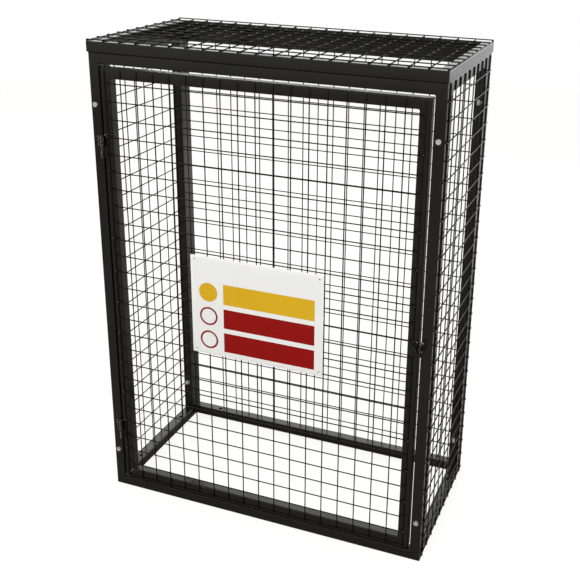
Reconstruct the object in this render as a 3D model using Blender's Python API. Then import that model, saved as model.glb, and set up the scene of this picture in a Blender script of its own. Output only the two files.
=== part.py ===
"""Gas cylinder cage: welded wire mesh on square tube frames, with a hinged front door.

Five frames stand round an open floor: a front one, a back one, two side ones between them,
and a top one that lies on all four. Each is four mitred tubes. The back, the sides and the
top carry a sheet of welded mesh on their outer face. So does the door, which hangs on two
hinges in the front frame and swings outwards.

Metres, +Z up. The front faces -Y, and the origin is on the floor under the middle of the
whole cage, with the mesh and the padlock lugs counted in its depth.
"""
import bmesh
import bpy
from mathutils import Matrix, Vector

# Overall size, over the tubes and without the mesh
CAGE_WIDTH = 1.000
CAGE_DEPTH = 0.500
CAGE_HEIGHT = 1.400

# Square tube of every frame
TUBE = 0.030
TUBE_WALL = 0.002
TUBE_CORNER = 0.0035
TUBE_CORNER_STEPS = 2

# Gap kept between two pieces that touch
SEAT = 0.0003

# How far the top panel stands out past the sides, to cover their mesh
TOP_EAVE = 0.002

# Welded mesh
WIRE = 0.003
PITCH = 0.050
WELD_SINK = 0.0005
CARRIER_STEP = 6
SHEET_EDGE = 0.012
SHEET_END = 0.003

# Door in its opening
HINGE_GAP = 0.005
LOCK_GAP = 0.0075
HEAD_GAP = 0.008
SILL_GAP = 0.006
DOOR_WIRE_RISE = 0.004
DOOR_SHEET_INSET = 0.0115
DOOR_SHEET_DROP = 0.005
DOOR_SHEET_RISE = 0.002

# Sides, back and top sheets
WALL_WIRE_RISE = 0.025
SIDE_WIRE_STUB = 0.002
TOP_SHEET_EDGE = 0.002

# Holes for floor bolts in the bottom rails
FLOOR_HOLE = 0.012
FLOOR_HOLE_INSET = 0.120
FLOOR_HOLE_SIDES = 12

# Hinges
HINGE_HEIGHT = 0.062
HINGE_BARREL = 0.012
HINGE_PIN = 0.006
HINGE_PIN_HEAD = 0.009
HINGE_HEAD_THICK = 0.0015
HINGE_FRAME_REACH = 0.015
HINGE_DOOR_REACH = 0.010
HINGE_LEAF_THICK = 0.0025
HINGE_RUNNING_GAP = 0.0005
HINGE_SIDES = 16
UPPER_HINGE_DROP = 0.221
LOWER_HINGE_RISE = 0.170

# Padlock lugs
LUG_HEIGHT = 0.028
LUG_REACH = 0.036
LUG_THICK = 0.004
LUG_HOLE = 0.012
LUG_CORNER = 0.006
LUG_FROM_GAP = 0.006
LUG_BELOW_MIDDLE = 0.011
LUG_HOLE_SIDES = 16
LUG_CORNER_STEPS = 3

# Sign plate, centred on the door
SIGN_WIDTH = 0.400
SIGN_HEIGHT = 0.300
SIGN_THICK = 0.0015
SIGN_CORNER = 0.006
SIGN_CORNER_STEPS = 3
SIGN_HOLE = 0.006
SIGN_HOLE_INSET = 0.012
SIGN_HOLE_SIDES = 10

# Derived places
WALL_HEIGHT = CAGE_HEIGHT - TUBE
HALF_WIDTH = CAGE_WIDTH / 2
HALF_DEPTH = CAGE_DEPTH / 2
OPENING_HALF = HALF_WIDTH - TUBE
DOOR_WIDTH = 2 * OPENING_HALF - HINGE_GAP - LOCK_GAP
DOOR_X = (HINGE_GAP - LOCK_GAP) / 2
DOOR_BOTTOM = TUBE + SILL_GAP
DOOR_TOP = WALL_HEIGHT - TUBE - HEAD_GAP
DOOR_HEIGHT = DOOR_TOP - DOOR_BOTTOM
DOOR_MIDDLE_Z = (DOOR_BOTTOM + DOOR_TOP) / 2
HINGE_X = -OPENING_HALF + HINGE_GAP / 2
LOCK_X = OPENING_HALF - LOCK_GAP / 2
SHEET_DEPTH = 2 * (SEAT + WIRE)
FRONT_Y = (SHEET_DEPTH + CAGE_DEPTH + SEAT + LUG_REACH) / -2 + SEAT + LUG_REACH
BACK_Y = FRONT_Y + CAGE_DEPTH
MIDDLE_Y = (FRONT_Y + BACK_Y) / 2
HINGE_Y = FRONT_Y - SEAT - HINGE_BARREL / 2

# Names of a panel's tubes: at its top, bottom, far and near side
UPRIGHT_NAMES = ("top_rail", "bottom_rail", "right_stile", "left_stile")
LEFT_SIDE_NAMES = ("top_rail", "bottom_rail", "front_stile", "back_stile")
RIGHT_SIDE_NAMES = ("top_rail", "bottom_rail", "back_stile", "front_stile")
TOP_NAMES = ("back_rail", "front_rail", "right_rail", "left_rail")

# Colours
COAT_BLACK = (0.016, 0.015, 0.014)
ZINC_GREY = (0.55, 0.56, 0.57)
SIGN_WHITE = (0.80, 0.80, 0.77)


def clear_scene():
    for old in list(bpy.data.objects):
        bpy.data.objects.remove(old, do_unlink=True)


def make_collection(name, hidden=False):
    group = bpy.data.collections.new(name)
    bpy.context.scene.collection.children.link(group)
    group.hide_render = hidden
    return group


def make_material(name, colour, roughness, metallic):
    material = bpy.data.materials.new(name)
    material.use_nodes = True
    shader = material.node_tree.nodes["Principled BSDF"]
    shader.inputs["Base Color"].default_value = (*colour, 1.0)
    shader.inputs["Roughness"].default_value = roughness
    shader.inputs["Metallic"].default_value = metallic
    return material


def add_object(name, bm, material, group, place=None, parent=None):
    """Store a bmesh as a named object, at a place given in the cage's own frame."""
    bmesh.ops.recalc_face_normals(bm, faces=bm.faces)
    mesh = bpy.data.meshes.new(name)
    bm.to_mesh(mesh)
    bm.free()
    mesh.materials.append(material)
    piece = bpy.data.objects.new(name, mesh)
    group.objects.link(piece)
    place = place or Matrix()
    if parent is not None:
        piece.parent = parent
        place = parent.matrix_world.inverted() @ place
    piece.matrix_basis = place
    return piece


def hide_cutter(piece):
    piece.hide_render = True
    piece.display_type = 'WIRE'


def add_boolean(piece, other, operation):
    step = piece.modifiers.new(operation.lower() + "_" + other.name, 'BOOLEAN')
    step.operation = operation
    step.solver = 'EXACT'
    step.object = other


def box_bmesh(low, high):
    """A box between two corners."""
    low = Vector(low)
    high = Vector(high)
    bm = bmesh.new()
    place = Matrix.Translation((low + high) / 2) @ Matrix.Diagonal((*(high - low), 1.0))
    bmesh.ops.create_cube(bm, size=1.0, matrix=place)
    return bm


def round_edges(bm, edges, radius, steps):
    bmesh.ops.bevel(bm, geom=edges, offset=radius, segments=steps, profile=0.5, affect='EDGES')


def edges_along(bm, axis):
    """The edges that run along one axis of the bmesh."""
    found = []
    for edge in bm.edges:
        run = (edge.verts[1].co - edge.verts[0].co).normalized()
        if abs(run[axis]) > 0.999:
            found.append(edge)
    return found


def tube_bmesh(length):
    """A square tube along X with mitred ends, which is longest on its +Z side."""
    half = length / 2
    bm = box_bmesh((-half, -TUBE / 2, -TUBE / 2), (half, TUBE / 2, TUBE / 2))
    ends = [face for face in bm.faces if abs(face.normal.x) > 0.5]
    bmesh.ops.delete(bm, geom=ends, context='FACES_ONLY')
    round_edges(bm, edges_along(bm, 0), TUBE_CORNER, TUBE_CORNER_STEPS)
    bmesh.ops.recalc_face_normals(bm, faces=bm.faces)
    bmesh.ops.solidify(bm, geom=bm.faces[:], thickness=TUBE_WALL)
    mitre_gap = SEAT / 2 * 2 ** 0.5
    for vertex in bm.verts:
        cut_back = TUBE / 2 - vertex.co.z + mitre_gap
        vertex.co.x += -cut_back if vertex.co.x > 0 else cut_back
    return bm


def turned(right, up):
    """A rotation whose X, Z columns are the given directions and whose Y completes them."""
    x_axis = Vector(right)
    z_axis = Vector(up)
    y_axis = z_axis.cross(x_axis)
    return Matrix((x_axis, y_axis, z_axis)).transposed().to_4x4()


def panel_frame(prefix, places, material, group, parent=None, names=UPRIGHT_NAMES):
    """Four mitred tubes round a panel.

    places is (centre, across, rise, width, height): the middle of the tube's depth, the
    panel's two directions, and the size over the tubes. names are those of the tubes at
    the panel's top, bottom, far and near side along its two directions.
    """
    centre, across, rise, width, height = places
    centre = Vector(centre)
    across = Vector(across)
    rise = Vector(rise)
    rows = (
        (across, rise, width, height),
        (-across, -rise, width, height),
        (-rise, across, height, width),
        (rise, -across, height, width),
    )
    pieces = {}
    for name, (run, outward, length, reach) in zip(names, rows):
        place = Matrix.Translation(centre + outward * (reach - TUBE) / 2) @ turned(run, outward)
        bm = tube_bmesh(length)
        pieces[name] = add_object(prefix + "_" + name, bm, material, group, place, parent)
    return pieces


def add_cylinder(bm, middle, direction, diameter, length, sides):
    """A closed cylinder in a bmesh. With more than four sides it is shaded round."""
    spin = Vector(direction).to_track_quat('Z', 'Y').to_matrix().to_4x4()
    made = bmesh.ops.create_cone(
        bm, cap_ends=True, cap_tris=False, segments=sides,
        radius1=diameter / 2, radius2=diameter / 2, depth=length,
        matrix=Matrix.Translation(Vector(middle)) @ spin)
    if sides > 4:
        for face in {face for vertex in made["verts"] for face in vertex.link_faces}:
            face.smooth = len(face.verts) == 4


def wire_bmesh(rows):
    """Straight wires of diamond section: each row is (middle, direction, length)."""
    bm = bmesh.new()
    for middle, direction, length in rows:
        add_cylinder(bm, middle, direction, WIRE, length, 4)
    return bm


def count_between(first, last):
    """How many wires fit between two places, a pitch apart."""
    return int((last - first) / PITCH + 1e-6) + 1


def centred_wires(width, edge):
    """Places of wires a pitch apart, centred in a width, at least an edge from its sides."""
    number = count_between(edge, width - edge)
    return [(index - (number - 1) / 2) * PITCH for index in range(number)]


def rising_wires(first, limit):
    """Places of wires a pitch apart, from the first one up to a limit."""
    return [first + index * PITCH for index in range(count_between(first, limit))]


def is_carrier(index, number):
    return index % CARRIER_STEP == 0 or index == number - 1


def mesh_sheet(name, places, ups, crosses, material, groups, parent=None):
    """A sheet of welded mesh, as one body.

    places is (origin, across, rise, outward, (low_a, high_a), (low_r, high_r)): the plane
    that the sheet lies on and the sheet's outline in it. ups are the places of the wires
    that rise, which lie against the frame, and crosses those of the wires across them,
    given as (place, carries). A carrying wire is sunk into all the wires that it crosses.
    The others rest on theirs with the gap that two touching pieces keep.
    """
    origin, across, rise, outward, span_a, span_r = places
    origin = Vector(origin)
    across = Vector(across)
    rise = Vector(rise)
    outward = Vector(outward)
    inner = SEAT + WIRE / 2
    outer = inner + WIRE + SEAT
    sunk = SEAT + WELD_SINK
    first_rows = []
    for place, carries in ups:
        depth = inner + (sunk if carries else 0.0)
        middle = origin + across * place + rise * (sum(span_r) / 2) + outward * depth
        first_rows.append((middle, rise, span_r[1] - span_r[0]))
    second_rows = []
    for place, carries in crosses:
        depth = outer - (sunk if carries else 0.0)
        middle = origin + across * (sum(span_a) / 2) + rise * place + outward * depth
        second_rows.append((middle, across, span_a[1] - span_a[0]))
    parts, cutters = groups
    sheet = add_object(name, wire_bmesh(first_rows), material, parts, None, parent)
    others = add_object(name + "_cross_wires", wire_bmesh(second_rows), material, cutters)
    hide_cutter(others)
    add_boolean(sheet, others, 'UNION')
    return sheet


def marked(places, every=None):
    """Pair each wire's place with whether it is sunk: the end ones, or every nth one too."""
    number = len(places)
    result = []
    for index, place in enumerate(places):
        ends = index in (0, number - 1)
        carries = ends if every is None else is_carrier(index, number)
        result.append((place, carries))
    return result


def drill(piece, rows, sides, cutters):
    """Cut round holes: each row is (middle, direction, diameter, length)."""
    bm = bmesh.new()
    for middle, direction, diameter, length in rows:
        add_cylinder(bm, middle, direction, diameter, length, sides)
    holes = add_object(piece.name + "_holes", bm, piece.data.materials[0], cutters)
    hide_cutter(holes)
    add_boolean(piece, holes, 'DIFFERENCE')


def build_front(parts, black):
    centre = (0.0, FRONT_Y + TUBE / 2, WALL_HEIGHT / 2)
    places = (centre, (1, 0, 0), (0, 0, 1), CAGE_WIDTH, WALL_HEIGHT)
    panel_frame("front", places, black, parts)


def build_back(parts, cutters, black):
    centre = (0.0, BACK_Y - TUBE / 2, WALL_HEIGHT / 2)
    places = (centre, (1, 0, 0), (0, 0, 1), CAGE_WIDTH, WALL_HEIGHT)
    frame = panel_frame("back", places, black, parts)
    rows = []
    for side in (-1, 1):
        middle = (side * (HALF_WIDTH - FLOOR_HOLE_INSET), BACK_Y - TUBE / 2, TUBE / 2)
        rows.append((middle, (0, 0, 1), FLOOR_HOLE, 2 * TUBE))
    drill(frame["bottom_rail"], rows, FLOOR_HOLE_SIDES, cutters)

    ups = marked(centred_wires(CAGE_WIDTH, SHEET_EDGE))
    spans = (-HALF_WIDTH + SHEET_END, HALF_WIDTH - SHEET_END)
    crosses = marked(rising_wires(WALL_WIRE_RISE, WALL_HEIGHT - SHEET_END), CARRIER_STEP)
    places = ((0.0, BACK_Y, 0.0), (1, 0, 0), (0, 0, 1), (0, 1, 0), spans)
    bounds = (SHEET_END, WALL_HEIGHT - SHEET_END)
    split_sheet("back_mesh", places, bounds, ups, crosses, black, (parts, cutters))


def split_sheet(name, places, bounds, ups, crosses, material, groups, parent=None):
    """A tall sheet as a lower and an upper one, which meet between two cross wires.

    places is as in mesh_sheet, without the span along the rising wires, which bounds is.
    """
    half = len(crosses) // 2
    seam = (crosses[half - 1][0] + crosses[half][0]) / 2
    low, high = bounds
    lower = carry_ends(crosses[:half])
    upper = carry_ends(crosses[half:])
    for end, rows, span in (("_lower", lower, (low, seam - SEAT / 2)),
                            ("_upper", upper, (seam + SEAT / 2, high))):
        mesh_sheet(name + end, (*places, span), ups, rows, material, groups, parent)


def carry_ends(rows):
    """Make the first and last wire of a sheet carrying ones."""
    last = len(rows) - 1
    return [(place, carries or index in (0, last)) for index, (place, carries) in enumerate(rows)]


def build_side(name, side, parts, cutters, black):
    """One side panel, side -1 for the left and 1 for the right as seen from the front.

    Both sides are the same part, turned end for end. Its level wires reach over one
    neighbouring post nearly to its edge, and end just past the last rising wire of the
    other: at the back on the right side, and at the front on the left side.
    """
    length = CAGE_DEPTH - 2 * TUBE - 2 * SEAT
    centre = (side * (HALF_WIDTH - TUBE / 2), MIDDLE_Y, WALL_HEIGHT / 2)
    places = (centre, (0, side, 0), (0, 0, 1), length, WALL_HEIGHT)
    names = RIGHT_SIDE_NAMES if side > 0 else LEFT_SIDE_NAMES
    frame = panel_frame(name, places, black, parts, None, names)
    rows = []
    for end in (-1, 1):
        middle = (centre[0], MIDDLE_Y + end * (HALF_DEPTH - FLOOR_HOLE_INSET), TUBE / 2)
        rows.append((middle, (0, 0, 1), FLOOR_HOLE, 2 * TUBE))
    drill(frame["bottom_rail"], rows, FLOOR_HOLE_SIDES, cutters)

    origin = (side * HALF_WIDTH, MIDDLE_Y, 0.0)
    rising = centred_wires(CAGE_DEPTH, SHEET_EDGE)
    long_end = HALF_DEPTH - SHEET_END
    short_end = rising[-1] + SIDE_WIRE_STUB
    span = (-long_end, short_end) if side > 0 else (-short_end, long_end)
    bounds = (SHEET_END, WALL_HEIGHT - SHEET_END)
    ups = marked(rising)
    crosses = marked(rising_wires(WALL_WIRE_RISE, WALL_HEIGHT - SHEET_END), CARRIER_STEP)
    places = (origin, (0, 1, 0), (0, 0, 1), (side, 0, 0), span, bounds)
    mesh_sheet(name + "_mesh", places, ups, crosses, black, (parts, cutters))


def build_top(parts, cutters, black):
    width = CAGE_WIDTH + 2 * TOP_EAVE
    depth = CAGE_DEPTH + 2 * TOP_EAVE
    centre = (0.0, MIDDLE_Y, WALL_HEIGHT + SEAT + TUBE / 2)
    places = (centre, (1, 0, 0), (0, 1, 0), width, depth)
    panel_frame("top", places, black, parts, None, TOP_NAMES)

    origin = (0.0, MIDDLE_Y, WALL_HEIGHT + SEAT + TUBE)
    span_x = (-width / 2 + TOP_SHEET_EDGE / 2, width / 2 - TOP_SHEET_EDGE / 2)
    span_y = (-depth / 2 + TOP_SHEET_EDGE / 2, depth / 2 - TOP_SHEET_EDGE / 2)
    ups = marked(centred_wires(width, TOP_SHEET_EDGE))
    crosses = marked(centred_wires(depth, TOP_SHEET_EDGE), CARRIER_STEP)
    places = (origin, (1, 0, 0), (0, 1, 0), (0, 0, 1), span_x, span_y)
    mesh_sheet("top_mesh", places, ups, crosses, black, (parts, cutters))


def build_door(parts, cutters, black, white):
    """The door, under an empty that stands on the hinges' axis."""
    axis = bpy.data.objects.new("door_axis", None)
    parts.objects.link(axis)
    axis.location = (HINGE_X, HINGE_Y, 0.0)
    bpy.context.view_layer.update()

    centre = (DOOR_X, FRONT_Y + TUBE / 2, DOOR_MIDDLE_Z)
    places = (centre, (1, 0, 0), (0, 0, 1), DOOR_WIDTH, DOOR_HEIGHT)
    panel_frame("door", places, black, parts, axis)

    span = (DOOR_SHEET_INSET - DOOR_WIDTH / 2, DOOR_WIDTH / 2 - DOOR_SHEET_INSET)
    ups = marked(centred_wires(DOOR_WIDTH, SHEET_EDGE))
    first = DOOR_BOTTOM + DOOR_WIRE_RISE
    crosses = marked(rising_wires(first, DOOR_TOP - SHEET_EDGE), CARRIER_STEP)
    places = ((DOOR_X, FRONT_Y, 0.0), (1, 0, 0), (0, 0, 1), (0, -1, 0), span)
    bounds = (DOOR_BOTTOM + DOOR_SHEET_RISE, DOOR_TOP - DOOR_SHEET_DROP)
    split_sheet("door_mesh", places, bounds, ups, crosses, black, (parts, cutters), axis)
    build_sign(parts, cutters, white, axis)
    return axis


def build_sign(parts, cutters, white, axis):
    """A thin plate with rounded corners and four small holes, on the door's mesh."""
    back = FRONT_Y - SHEET_DEPTH - SEAT
    bm = box_bmesh(
        (DOOR_X - SIGN_WIDTH / 2, back - SIGN_THICK, DOOR_MIDDLE_Z - SIGN_HEIGHT / 2),
        (DOOR_X + SIGN_WIDTH / 2, back, DOOR_MIDDLE_Z + SIGN_HEIGHT / 2))
    round_edges(bm, edges_along(bm, 1), SIGN_CORNER, SIGN_CORNER_STEPS)
    plate = add_object("sign_plate", bm, white, parts, None, axis)
    rows = []
    for side in (-1, 1):
        for level in (-1, 1):
            x = DOOR_X + side * (SIGN_WIDTH / 2 - SIGN_HOLE_INSET)
            z = DOOR_MIDDLE_Z + level * (SIGN_HEIGHT / 2 - SIGN_HOLE_INSET)
            rows.append(((x, back - SIGN_THICK / 2, z), (0, 1, 0), SIGN_HOLE, 4 * SIGN_THICK))
    drill(plate, rows, SIGN_HOLE_SIDES, cutters)


def hinge_half(name, side, reach, span, material, groups, parent=None):
    """Half of a hinge: a barrel with the bore for the pin, and the leaf that carries it.

    side is -1 for the half on the frame and 1 for the one on the door, reach is how far
    its leaf goes from the axis, and span is its (low, high) heights.
    """
    parts, cutters = groups
    low, high = span
    face = FRONT_Y - SEAT
    far = HINGE_X + side * reach
    leaf = box_bmesh(
        (min(HINGE_X, far), face - HINGE_LEAF_THICK, low),
        (max(HINGE_X, far), face, high))
    piece = add_object(name, leaf, material, parts, None, parent)
    middle = (HINGE_X, HINGE_Y, (low + high) / 2)
    bm = bmesh.new()
    add_cylinder(bm, middle, (0, 0, 1), HINGE_BARREL, high - low, HINGE_SIDES)
    barrel = add_object(name + "_barrel", bm, material, cutters)
    hide_cutter(barrel)
    add_boolean(piece, barrel, 'UNION')
    bore = HINGE_PIN + 2 * SEAT
    drill(piece, [(middle, (0, 0, 1), bore, 2 * (high - low))], HINGE_SIDES, cutters)
    return piece


def build_hinge(name, centre_z, parts, cutters, black, zinc, axis):
    """A hinge of two stacked halves, the upper one on the frame, on a headed pin."""
    low = centre_z - HINGE_HEIGHT / 2
    high = centre_z + HINGE_HEIGHT / 2
    upper = (centre_z + HINGE_RUNNING_GAP / 2, high)
    lower = (low, centre_z - HINGE_RUNNING_GAP / 2)
    groups = (parts, cutters)
    hinge_half(name + "_frame_half", -1, HINGE_FRAME_REACH, upper, black, groups)
    hinge_half(name + "_door_half", 1, HINGE_DOOR_REACH, lower, black, groups, axis)

    shank = HINGE_HEIGHT + 2 * (SEAT + HINGE_HEAD_THICK)
    bm = bmesh.new()
    add_cylinder(bm, (HINGE_X, HINGE_Y, centre_z), (0, 0, 1), HINGE_PIN, shank, HINGE_SIDES)
    pin = add_object(name + "_pin", bm, zinc, parts)
    bm = bmesh.new()
    for side in (-1, 1):
        head_z = centre_z + side * (HINGE_HEIGHT / 2 + SEAT + HINGE_HEAD_THICK / 2)
        middle = (HINGE_X, HINGE_Y, head_z)
        add_cylinder(bm, middle, (0, 0, 1), HINGE_PIN_HEAD, HINGE_HEAD_THICK, HINGE_SIDES)
    heads = add_object(name + "_pin_heads", bm, zinc, cutters)
    hide_cutter(heads)
    add_boolean(pin, heads, 'UNION')


def build_lug(name, x, parts, cutters, black, parent=None):
    """A padlock lug: a plate that stands out from the front, with a hole near its end."""
    face = FRONT_Y - SEAT
    centre_z = DOOR_MIDDLE_Z - LUG_BELOW_MIDDLE
    bm = box_bmesh(
        (x - LUG_THICK / 2, face - LUG_REACH, centre_z - LUG_HEIGHT / 2),
        (x + LUG_THICK / 2, face, centre_z + LUG_HEIGHT / 2))
    front = face - LUG_REACH / 2
    front_edges = [edge for edge in edges_along(bm, 0) if edge.verts[0].co.y < front]
    round_edges(bm, front_edges, LUG_CORNER, LUG_CORNER_STEPS)
    lug = add_object(name, bm, black, parts, None, parent)
    middle = (x, face - LUG_REACH + LUG_HEIGHT / 2, centre_z)
    drill(lug, [(middle, (1, 0, 0), LUG_HOLE, 4 * LUG_THICK)], LUG_HOLE_SIDES, cutters)


def build_cage():
    clear_scene()
    parts = make_collection("gas_cylinder_cage")
    cutters = make_collection("cutters", hidden=True)
    black = make_material("black_powder_coat", COAT_BLACK, 0.42, 0.0)
    zinc = make_material("zinc_plate", ZINC_GREY, 0.35, 1.0)
    white = make_material("sign_white", SIGN_WHITE, 0.45, 0.0)

    build_front(parts, black)
    build_back(parts, cutters, black)
    build_side("left_side", -1, parts, cutters, black)
    build_side("right_side", 1, parts, cutters, black)
    build_top(parts, cutters, black)
    axis = build_door(parts, cutters, black, white)
    build_hinge("upper_hinge", DOOR_TOP - UPPER_HINGE_DROP, parts, cutters, black, zinc, axis)
    build_hinge("lower_hinge", DOOR_BOTTOM + LOWER_HINGE_RISE, parts, cutters, black, zinc, axis)
    lug_reach = LUG_FROM_GAP + LUG_THICK / 2
    build_lug("door_lock_lug", LOCK_X - lug_reach, parts, cutters, black, axis)
    build_lug("frame_lock_lug", LOCK_X + lug_reach, parts, cutters, black)


build_cage()
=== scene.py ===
"""Looks of the gas cylinder cage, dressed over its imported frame.

The tubes, wires, welds, bolts, hinges, padlock lugs and sign plate of the real cage are
modelled here in place of the plain solids, and everything gets its finish: satin black
powder coat, bright zinc and a white sign plate with plain colour fields.
"""
import math
import random

import bmesh
import bpy
from mathutils import Matrix, Vector


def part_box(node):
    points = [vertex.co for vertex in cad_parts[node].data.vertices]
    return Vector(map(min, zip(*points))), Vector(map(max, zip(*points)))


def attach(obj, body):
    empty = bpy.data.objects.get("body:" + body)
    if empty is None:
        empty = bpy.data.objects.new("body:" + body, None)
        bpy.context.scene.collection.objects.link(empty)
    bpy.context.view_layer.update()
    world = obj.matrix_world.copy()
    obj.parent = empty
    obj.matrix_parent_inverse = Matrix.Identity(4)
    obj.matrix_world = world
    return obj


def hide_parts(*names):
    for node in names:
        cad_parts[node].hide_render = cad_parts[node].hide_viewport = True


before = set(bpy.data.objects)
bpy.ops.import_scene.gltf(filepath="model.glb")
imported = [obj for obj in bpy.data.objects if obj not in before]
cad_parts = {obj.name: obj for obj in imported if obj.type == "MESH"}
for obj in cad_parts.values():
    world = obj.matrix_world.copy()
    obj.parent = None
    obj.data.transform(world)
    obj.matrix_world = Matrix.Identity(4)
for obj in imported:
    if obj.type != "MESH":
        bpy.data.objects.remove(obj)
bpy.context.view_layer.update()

# Sizes of the cage in metres: the tube's width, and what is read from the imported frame
TUBE = 0.030
FRONT_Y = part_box("front_top_rail")[0].y
BACK_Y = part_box("back_top_rail")[1].y
MIDDLE_Y = (FRONT_Y + BACK_Y) / 2
HALF_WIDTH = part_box("front_top_rail")[1].x
WALL_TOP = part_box("front_top_rail")[1].z
ROOF_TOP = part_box("top_front_rail")[1].z
DOOR_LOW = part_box("door_left_stile")[0]
DOOR_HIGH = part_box("door_right_stile")[1]
DOOR_X = (DOOR_LOW.x + DOOR_HIGH.x) / 2
FRONTWARD = (0, -1, 0)

# Square tube: its wall, its rounded corners, and the weld run inside each frame corner
TUBE_WALL = 0.002
TUBE_CORNER = 0.0035
TUBE_CORNER_STEPS = 4
CORNER_WELD_INSET = 0.0004
CORNER_WELD_RADIUS = 0.0015
CORNER_WELD_STEP = 0.0016

# Bare weld beads along the door's lower left mitre, which also paint in a highlight on its edge,
# as distances from its corner
MITRE_HIGHLIGHT_BEADS = (0.002, 0.006, 0.019, 0.022, 0.025, 0.028)
MITRE_HIGHLIGHT_BEAD_SIZE = 0.0013

# Holes for floor bolts, through the bottom tubes
FLOOR_HOLE = 0.012
FLOOR_HOLE_INSET = 0.120

# Round 3 mm wire of the mesh with its coat, and how far its two layers stand off the frame
WIRE = 0.0033
WIRE_SIDES = 10
WIRE_END_BREAK = 0.0004
PITCH = 0.050
INNER_WIRE = 0.0017
OUTER_WIRE = 0.0047

# Weld spot at each crossing: its least and greatest radius, and its half thickness
SPOT_RADII = (0.0017, 0.0021)
SPOT_HALF_THICK = 0.0011

# Tacks that hold the sheets to the frames: how far in from the wire ends they sit, how far
# they stand off, and their radii across the sheet, up it and outward
TACK_INSET = 0.0030
INNER_TACK_DEPTH = 0.0010
OUTER_TACK_DEPTH = 0.0024
INNER_TACK = (0.0030, 0.0027, 0.0026)
OUTER_TACK = (0.0028, 0.0025, 0.0034)

# Bare weld on the wire ends: its inset, how far it stands off and its least and greatest
# radius, on the level wires and on the rising ones, and its thickness as a share
LEVEL_BARE_INSET = 0.0012
LEVEL_BARE_DEPTH = 0.0056
LEVEL_BARE_RADII = (0.0010, 0.0015)
RISING_BARE_INSET = 0.0010
RISING_BARE_DEPTH = 0.0030
RISING_BARE_RADII = (0.0009, 0.0014)
BARE_FLATNESS = 0.6

# Ripples of a weld run: how far apart they are, and how much longer than that each one is
WELD_STEP = 0.0022
WELD_OVERLAP = 1.15

# Hinges: the barrel and its bore, the leaf behind it, and the pin with its heads, all round
# sizes as radii
HINGE_BARREL = 0.006
HINGE_BORE = 0.0033
HINGE_RIM_BREAK = 0.0006
LEAF_THICK = 0.0025
LEAF_STANDOFF = 0.0003
LEAF_EDGE = 0.0004
PIN_RADIUS = 0.0030
PIN_HEAD = 0.0045
PIN_HEAD_TOP = 0.0036
PIN_HEAD_RIM = 0.0006
PIN_HEAD_THICK = 0.0015

# Weld runs of a hinge half, as (radius, depth in front of its back): along the leaf's far
# edge, along the barrel and across both ends
FAR_WELD = (0.0017, 0.0004)
BARREL_WELD = (0.0013, 0.0030)
END_WELD = (0.0012, 0.0010)
LONG_WELD_INSET = 0.002
END_WELD_INSET = 0.0005

# Bare weld beads down the front of each hinge half, as shares of its height
HINGE_BEADS = (0.08, 0.24, 0.42, 0.55, 0.72, 0.90)
HINGE_BEAD_SIZE = 0.0016

# Bare beads on the door's stile above each hinge: right of its axis, in front of the frame
# and up from its pin
STILE_BEADS = ((0.0135, 0.0008, 0.003), (0.0135, 0.0010, 0.002), (0.0065, 0.0008, 0.0))

# Flecks round the upper barrel: their count on each half, and the turns in degrees that
# they lie between
FLECKS = 9
FLECK_SIZE = 0.0009
FLECK_RADIUS = 0.0059
FLECK_TURNS = (-35, 65)

# Padlock lugs: their broken edge, the welds at their foot, and the worn front edge, which
# is bare in spots
LUG_EDGE = 0.0005
LUG_WELD_DEPTH = 0.0006
LUG_SIDE_WELD = 0.0019
LUG_END_WELD = 0.0014
LUG_BEAD_SIZE = 0.0018
LUG_WELD_INSET = 0.001
WORN_SPOTS = 13
WORN_INSET = 0.007
WORN_THICK = 0.0003

# Sign plate, and the studs in the holes of its corners
SIGN_WIDTH = 0.400
SIGN_HEIGHT = 0.300
SIGN_CORNER = 0.0035
SIGN_EDGE = 0.0005
SIGN_STUD = 0.0044
SIGN_STUD_INSET = 0.012
STUD_DOME = ((0.0, -0.0001), (0.0012, -0.0003), (0.0019, -0.0008), (0.0019, -0.0040),
             (0.0, -0.0040))

# Colour fields of the sign, placed from the plate's upper left corner: the bands' left and
# right ends, each band's upper and lower edge, and the middles of the round fields
FIELD_THICK = 0.00020
FIELD_SINK = 0.00005
FIELD_CORNER = 0.0015
BAND_ENDS = (0.100, 0.375)
YELLOW_BAND = (0.076, 0.137)
RED_BANDS = ((0.1515, 0.2105), (0.225, 0.284))
ROUND_FIELD_ACROSS = 0.053
DISC_DOWN = 0.107
DISC_RADIUS = 0.0285
RINGS_DOWN = (0.1805, 0.2535)
RING_RADII = (0.0280, 0.0225)

# Bolts through the corner posts, with their heads, nuts and washers (the washers by radii)
BOLT_X = HALF_WIDTH - TUBE / 2
FRONT_BOLT_HEIGHTS = (0.128, 1.228)
BACK_BOLT_HEIGHTS = (0.138, 1.238)
BOLT = 0.008
BOLT_FLATS = 0.013
BOLT_HEAD_HEIGHT = 0.0053
BOLT_REACH = 0.0040
NUT_HEIGHT = 0.0065
WASHER = 0.0080
WASHER_BORE = 0.0042
WASHER_THICK = 0.0016
WASHER_GAP = 0.0005
THREAD_PITCH = 0.00125
THREAD_DEPTH = 0.0006

# How bright the studio is in reflections: on the camera's side, and as a painted glow that the
# floor gives off only in reflections, near the cage, beside it and far behind it
FRONT_GLOSS = 0.5
NEAR_FLOOR_REFLECTION_GLOW = 0.06
SIDE_FLOOR_REFLECTION_GLOW = 0.32
FAR_FLOOR_REFLECTION_GLOW = 0.85

# Tints of the floor: its own colour, and the warm one of its painted glow in reflections near the
# cage
FLOOR_PAPER = (0.20, 0.195, 0.18, 1.0)
WARM_GLOW = (1.0, 0.92, 0.68)
WHITE = (1.0, 1.0, 1.0)

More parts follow.
